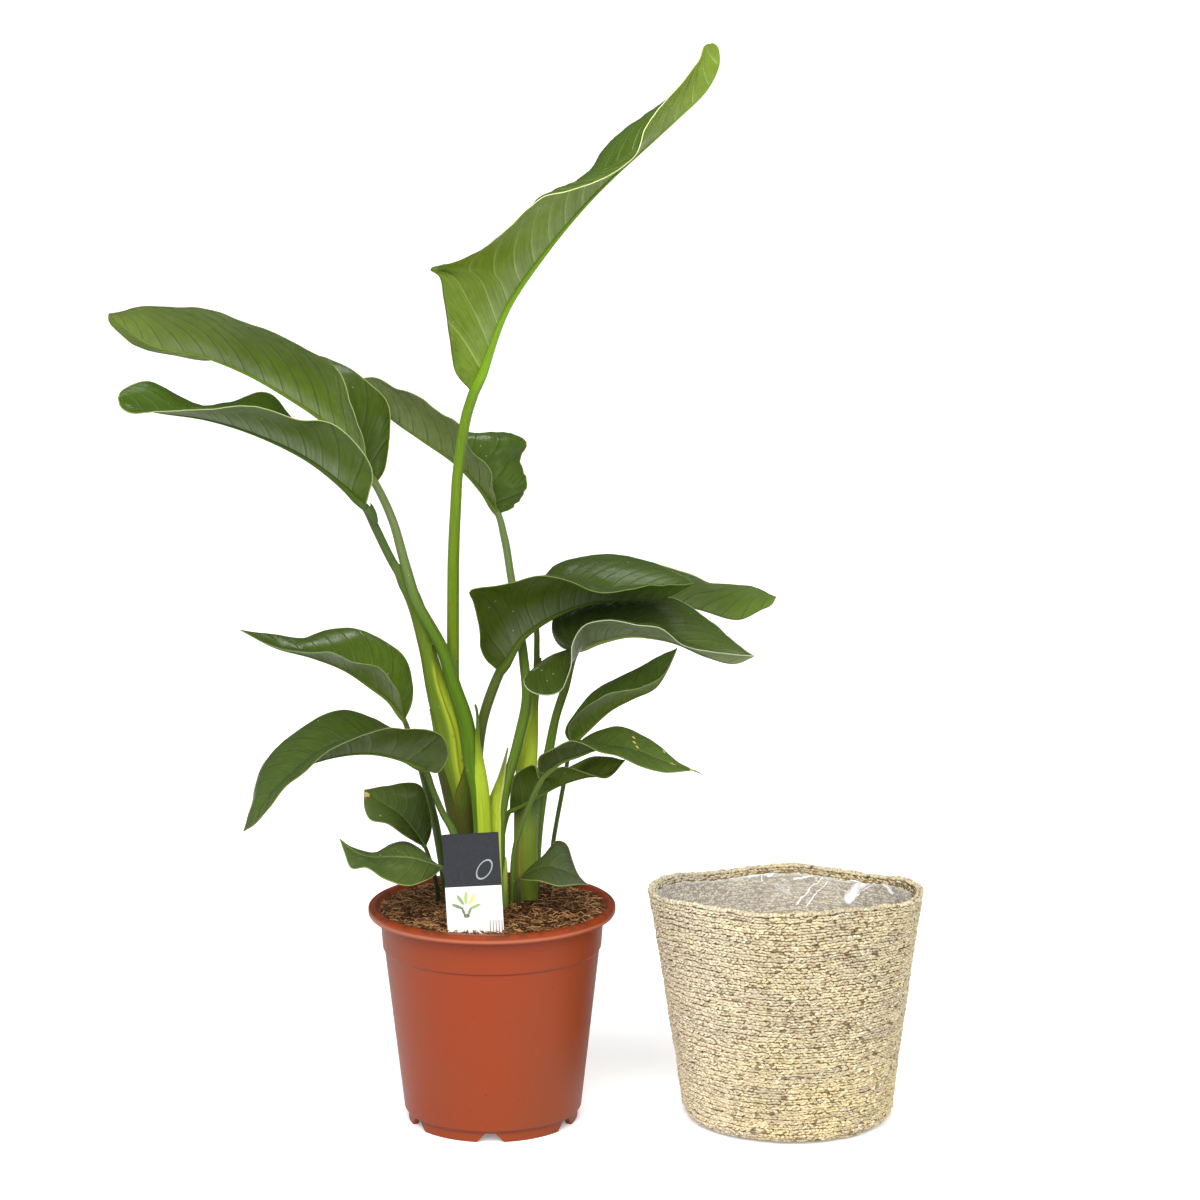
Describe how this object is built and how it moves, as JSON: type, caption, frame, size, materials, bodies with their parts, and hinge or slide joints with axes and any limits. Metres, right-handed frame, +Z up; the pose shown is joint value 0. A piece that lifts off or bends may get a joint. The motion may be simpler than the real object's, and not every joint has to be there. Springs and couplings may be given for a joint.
{
  "type": "potted bird of paradise plant",
  "caption": "Bird of paradise plant with folded paddle leaves on tall stalks, in a terracotta-coloured nursery pot, beside an empty woven seagrass basket with a film liner.",
  "frame": {"origin": "middle of the floor area that the whole object takes, on the floor under the pot and the basket", "axes": "+Z up along the stems, the longest extent; +X from the plant in its pot towards the basket; +Y away from the viewer, the shortest extent"},
  "size_m": [0.6206, 0.226, 0.8214],
  "materials": {
    "pot": "satin",
    "soil": "matte",
    "leaf_young": "satin",
    "leaf_fresh": "satin",
    "leaf_mature": "satin",
    "leaf_dark": "satin",
    "shoot": "satin",
    "label": "gloss",
    "seagrass": "matte",
    "film": "gloss"
  },
  "bodies": {
    "root": {"nursery_pot": "pot", "potting_soil": "soil", "leaf_01_tall": "leaf_young", "leaf_02_upper_left": "leaf_fresh", "leaf_03_lower_left": "leaf_fresh", "leaf_04_middle_back": "leaf_fresh", "leaf_05_right_arching": "leaf_mature", "leaf_06_back_right": "leaf_fresh", "leaf_07_right_dark": "leaf_mature", "leaf_08_small_upper_right": "leaf_mature", "leaf_09_lower_right_spotted": "leaf_mature", "leaf_10_lower_right_under": "leaf_mature", "leaf_11_upper_small_left": "leaf_mature", "leaf_12_lower_small_left": "leaf_mature", "leaf_13_lower_left_dark": "leaf_dark", "leaf_14_over_rim": "leaf_mature", "leaf_15_over_soil": "leaf_mature", "young_shoot": "shoot", "plant_label": "label", "seagrass_basket": "seagrass", "basket_liner": "film"}
  },
  "joints": []
}
